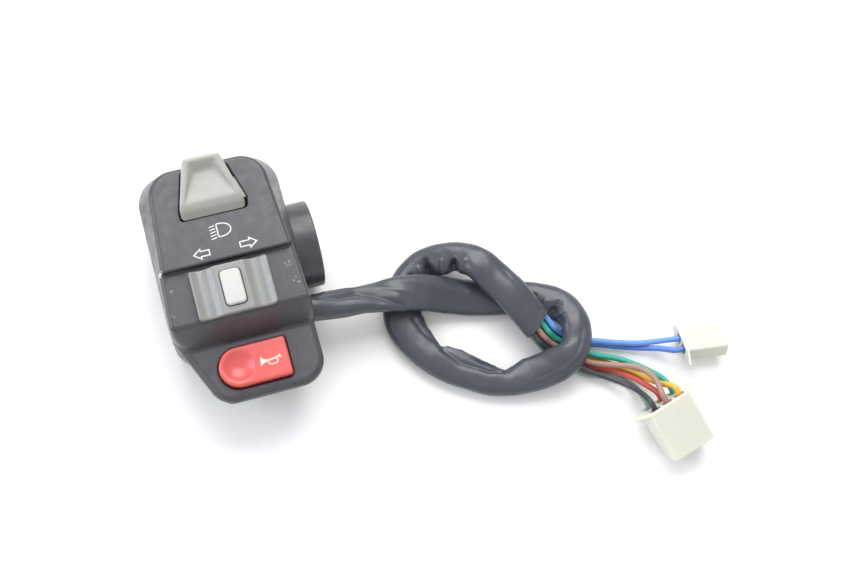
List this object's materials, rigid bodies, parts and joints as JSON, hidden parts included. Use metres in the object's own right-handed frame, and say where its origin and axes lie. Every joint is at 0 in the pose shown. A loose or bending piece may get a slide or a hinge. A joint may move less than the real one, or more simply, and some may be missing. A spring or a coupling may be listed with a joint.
{
  "type": "handlebar switch cluster",
  "caption": "Left-hand handlebar switch cluster with beam rocker, turn slider with push-to-cancel, horn button, knotted harness and nylon connectors.",
  "frame": {"origin": "On the axis of the handlebar bore, level with the middle of the rocker, slider and cancel button", "axes": "+X runs along the handlebar towards the collar and the harness, +Y runs up the face from the horn to the rocker, +Z points out of the face"},
  "size_m": [0.1733, 0.1245, 0.0461],
  "materials": {
    "black_plastic": "satin moulded plastic, lightly scuffed",
    "grey_plastic": "satin moulded plastic",
    "slider_plastic": "satin moulded plastic",
    "white_plastic": "smooth moulded plastic",
    "red_plastic": "smooth moulded plastic",
    "board_plastic": "pressed laminate",
    "zinc_steel": "zinc plated",
    "spring_steel": "drawn wire",
    "contact_brass": "pressed strip",
    "sleeve_vinyl": "soft flattened vinyl, creased",
    "blue_wire": "vinyl insulation",
    "teal_wire": "vinyl insulation",
    "yellow_wire": "vinyl insulation",
    "brown_wire": "vinyl insulation",
    "red_wire": "vinyl insulation",
    "black_wire": "vinyl insulation",
    "green_wire": "vinyl insulation",
    "ivory_nylon": "milky translucent nylon"
  },
  "bodies": {
    "housing": {"front_housing": "black_plastic", "rear_housing": "black_plastic", "clamp_screws": "zinc_steel", "rocker_pins": "zinc_steel", "rocker_cradle": "white_plastic", "beam_terminals": "contact_brass", "cradle_screws": "zinc_steel", "turn_board": "board_plastic", "turn_terminals": "contact_brass", "turn_board_screws": "zinc_steel", "horn_spring": "spring_steel", "horn_board": "board_plastic", "horn_terminals": "contact_brass", "horn_board_screws": "zinc_steel", "harness_sleeve": "sleeve_vinyl", "inner_leads": "black_wire", "wire_blue_upper": "blue_wire", "wire_blue_lower": "blue_wire", "wire_teal": "teal_wire", "wire_yellow": "yellow_wire", "wire_brown": "brown_wire", "wire_red": "red_wire", "wire_black": "black_wire", "wire_green": "green_wire", "connector_two_way": "ivory_nylon", "connector_six_way": "ivory_nylon", "terminals_two_way": "contact_brass", "terminals_six_way": "contact_brass"},
    "rocker": {"beam_rocker": "grey_plastic", "rocker_plunger": "white_plastic", "rocker_spring": "spring_steel"},
    "see_saw": {"beam_contact": "contact_brass"},
    "slider": {"turn_slider": "slider_plastic", "turn_carriage": "white_plastic", "turn_contact": "contact_brass", "turn_contact_springs": "spring_steel", "detent_ball": "zinc_steel", "detent_spring": "spring_steel", "cancel_spring": "spring_steel"},
    "cancel": {"cancel_button": "white_plastic"},
    "horn": {"horn_button": "red_plastic", "horn_contact": "contact_brass"}
  },
  "joints": [
    {"name": "rocker_tilt", "type": "hinge", "parent": "housing", "child": "rocker", "pos_m": [0, 0.0165, 0.0205], "axis": [1, 0, 0], "range_deg": [-14, 0]},
    {"name": "beam_contact_tilt", "type": "hinge", "parent": "housing", "child": "see_saw", "pos_m": [0, 0.0165, 0.01566], "axis": [1, 0, 0], "range_deg": [0, 10.1]},
    {"name": "turn_slide", "type": "slide", "parent": "housing", "child": "slider", "axis": [1, 0, 0], "range_m": [-0.003, 0.003], "stiffness_N_per_m": 300},
    {"name": "cancel_press", "type": "slide", "parent": "slider", "child": "cancel", "axis": [0, 0, -1], "range_m": [0, 0.001], "stiffness_N_per_m": 1000, "deforming": ["cancel_spring"]},
    {"name": "horn_press", "type": "slide", "parent": "housing", "child": "horn", "axis": [0, 0, -1], "range_m": [0, 0.002], "stiffness_N_per_m": 1500, "deforming": ["horn_spring"]}
  ],
  "couplings": [
    {"joint": "beam_contact_tilt", "follows": "rocker_tilt", "ratio": -0.714}
  ]
}
